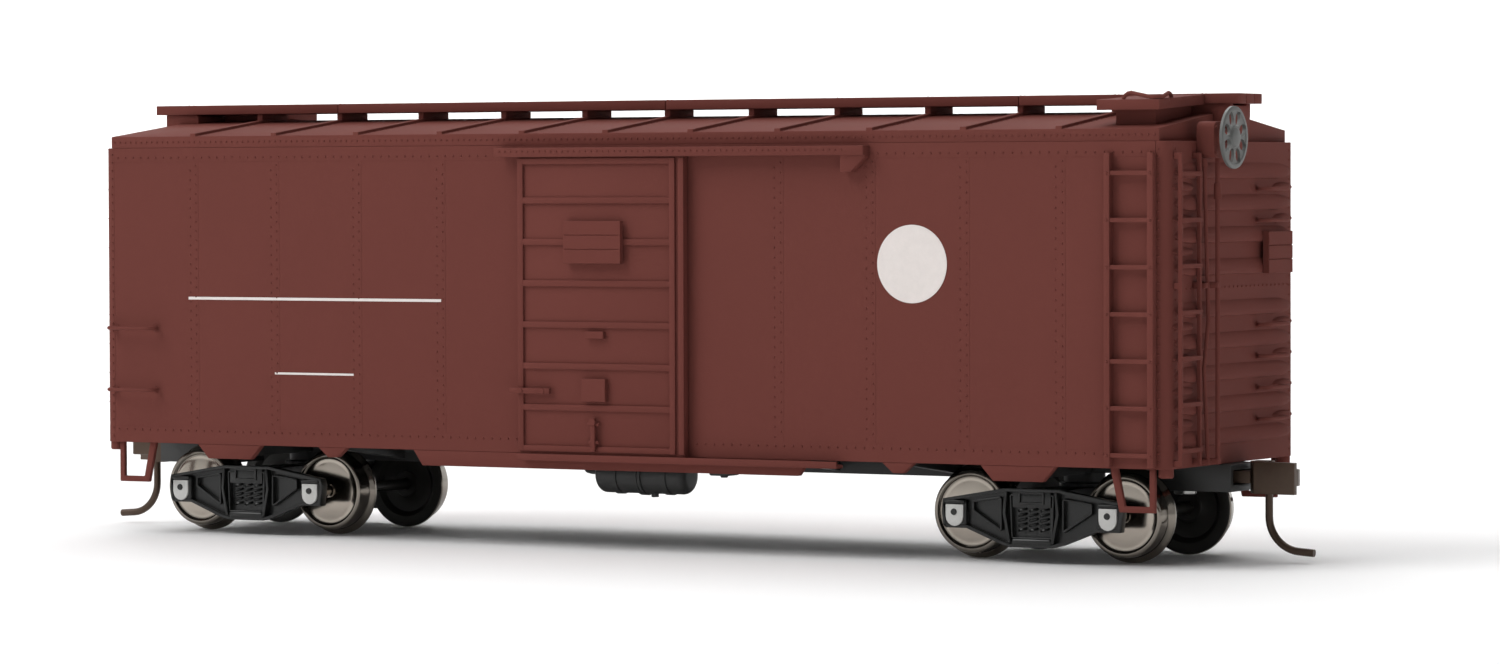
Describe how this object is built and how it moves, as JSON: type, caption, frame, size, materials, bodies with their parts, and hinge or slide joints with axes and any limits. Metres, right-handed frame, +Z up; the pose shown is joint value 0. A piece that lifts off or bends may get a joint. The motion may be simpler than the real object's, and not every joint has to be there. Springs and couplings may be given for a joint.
{
  "type": "model railroad boxcar",
  "caption": "Scale model boxcar with sliding side doors, roof walk, ladders, swivelling two-axle trucks and spring knuckle couplers.",
  "frame": {"origin": "middle of the footprint, on the plane that the wheel flanges stand on", "axes": "+X along the car towards the brake end, +Y across towards the far side, +Z up"},
  "size_m": [0.1644, 0.0384, 0.0533],
  "materials": {
    "body_paint": "flat painted styrene",
    "underframe_plastic": "moulded satin",
    "truck_plastic": "moulded acetal, slight sheen",
    "wheel_metal": "blackened, turned and bright on the tread",
    "coupler_metal": "dark cast",
    "brake_wheel_plastic": "moulded",
    "weight_steel": "rolled",
    "screw_steel": "plated"
  },
  "bodies": {
    "car_body": {"side_wall_near": "body_paint", "side_wall_far": "body_paint", "end_wall_a": "body_paint", "end_wall_b": "body_paint", "roof": "body_paint", "floor": "underframe_plastic", "weight_block": "weight_steel", "centre_sill": "underframe_plastic", "body_bolsters": "underframe_plastic", "cross_bearers": "underframe_plastic", "side_sills": "body_paint", "running_board": "body_paint", "walk_saddles": "body_paint", "side_walks": "body_paint", "upper_door_tracks": "body_paint", "lower_door_tracks": "body_paint", "side_ladders": "body_paint", "end_ladders": "body_paint", "grab_irons": "body_paint", "stirrup_steps": "body_paint", "poling_pockets": "body_paint", "brake_housing": "body_paint", "brake_wheel": "brake_wheel_plastic", "brake_rod": "body_paint", "retainer_pipe": "body_paint", "end_boards": "body_paint", "air_reservoir": "underframe_plastic", "brake_cylinder": "underframe_plastic", "control_valve": "underframe_plastic", "coupler_boxes": "underframe_plastic", "coupler_box_screws": "screw_steel", "truck_screws": "screw_steel"},
    "truck_a": {"truck_bolster_a": "truck_plastic", "side_frames_a": "truck_plastic", "truck_springs_a": "truck_plastic"},
    "wheelset_a_inner": {"wheels_a_inner": "wheel_metal", "axle_a_inner": "wheel_metal"},
    "wheelset_a_outer": {"wheels_a_outer": "wheel_metal", "axle_a_outer": "wheel_metal"},
    "coupler_a": {"coupler_a": "coupler_metal"},
    "knuckle_a": {"knuckle_a": "coupler_metal", "trip_pin_a": "coupler_metal"},
    "truck_b": {"truck_bolster_b": "truck_plastic", "side_frames_b": "truck_plastic", "truck_springs_b": "truck_plastic"},
    "wheelset_b_inner": {"wheels_b_inner": "wheel_metal", "axle_b_inner": "wheel_metal"},
    "wheelset_b_outer": {"wheels_b_outer": "wheel_metal", "axle_b_outer": "wheel_metal"},
    "coupler_b": {"coupler_b": "coupler_metal"},
    "knuckle_b": {"knuckle_b": "coupler_metal", "trip_pin_b": "coupler_metal"},
    "door_near": {"door_near": "body_paint", "door_boards_near": "body_paint", "door_latch_near": "body_paint"},
    "door_far": {"door_far": "body_paint", "door_boards_far": "body_paint", "door_latch_far": "body_paint"}
  },
  "joints": [
    {"name": "truck_a_swivel", "type": "hinge", "parent": "car_body", "child": "truck_a", "pos_m": [-0.0539, 0, 0.0085], "axis": [0, 0, 1], "range_deg": [-10, 10]},
    {"name": "wheelset_a_inner_spin", "type": "hinge", "parent": "truck_a", "child": "wheelset_a_inner", "pos_m": [-0.04427, 0, 0.00545], "axis": [0, 1, 0], "continuous": true},
    {"name": "wheelset_a_outer_spin", "type": "hinge", "parent": "truck_a", "child": "wheelset_a_outer", "pos_m": [-0.06353, 0, 0.00545], "axis": [0, 1, 0], "continuous": true},
    {"name": "coupler_a_swing", "type": "hinge", "parent": "car_body", "child": "coupler_a", "pos_m": [-0.0666, 0, 0.0097], "axis": [0, 0, 1], "range_deg": [-10, 10], "stiffness_Nm_per_rad": 0.002},
    {"name": "knuckle_a_swing", "type": "hinge", "parent": "coupler_a", "child": "knuckle_a", "pos_m": [-0.0766, -0.0009, 0.0097], "axis": [0, 0, 1], "range_deg": [0, 25], "stiffness_Nm_per_rad": 0.001},
    {"name": "truck_b_swivel", "type": "hinge", "parent": "car_body", "child": "truck_b", "pos_m": [0.0539, 0, 0.0085], "axis": [0, 0, 1], "range_deg": [-10, 10]},
    {"name": "wheelset_b_inner_spin", "type": "hinge", "parent": "truck_b", "child": "wheelset_b_inner", "pos_m": [0.04427, 0, 0.00545], "axis": [0, 1, 0], "continuous": true},
    {"name": "wheelset_b_outer_spin", "type": "hinge", "parent": "truck_b", "child": "wheelset_b_outer", "pos_m": [0.06353, 0, 0.00545], "axis": [0, 1, 0], "continuous": true},
    {"name": "coupler_b_swing", "type": "hinge", "parent": "car_body", "child": "coupler_b", "pos_m": [0.0666, 0, 0.0097], "axis": [0, 0, 1], "range_deg": [-10, 10], "stiffness_Nm_per_rad": 0.002},
    {"name": "knuckle_b_swing", "type": "hinge", "parent": "coupler_b", "child": "knuckle_b", "pos_m": [0.0766, 0.0009, 0.0097], "axis": [0, 0, 1], "range_deg": [0, 25], "stiffness_Nm_per_rad": 0.001},
    {"name": "door_near_slide", "type": "slide", "parent": "car_body", "child": "door_near", "axis": [1, 0, 0], "range_m": [0, 0.0203]},
    {"name": "door_far_slide", "type": "slide", "parent": "car_body", "child": "door_far", "axis": [-1, 0, 0], "range_m": [0, 0.0203]}
  ]
}
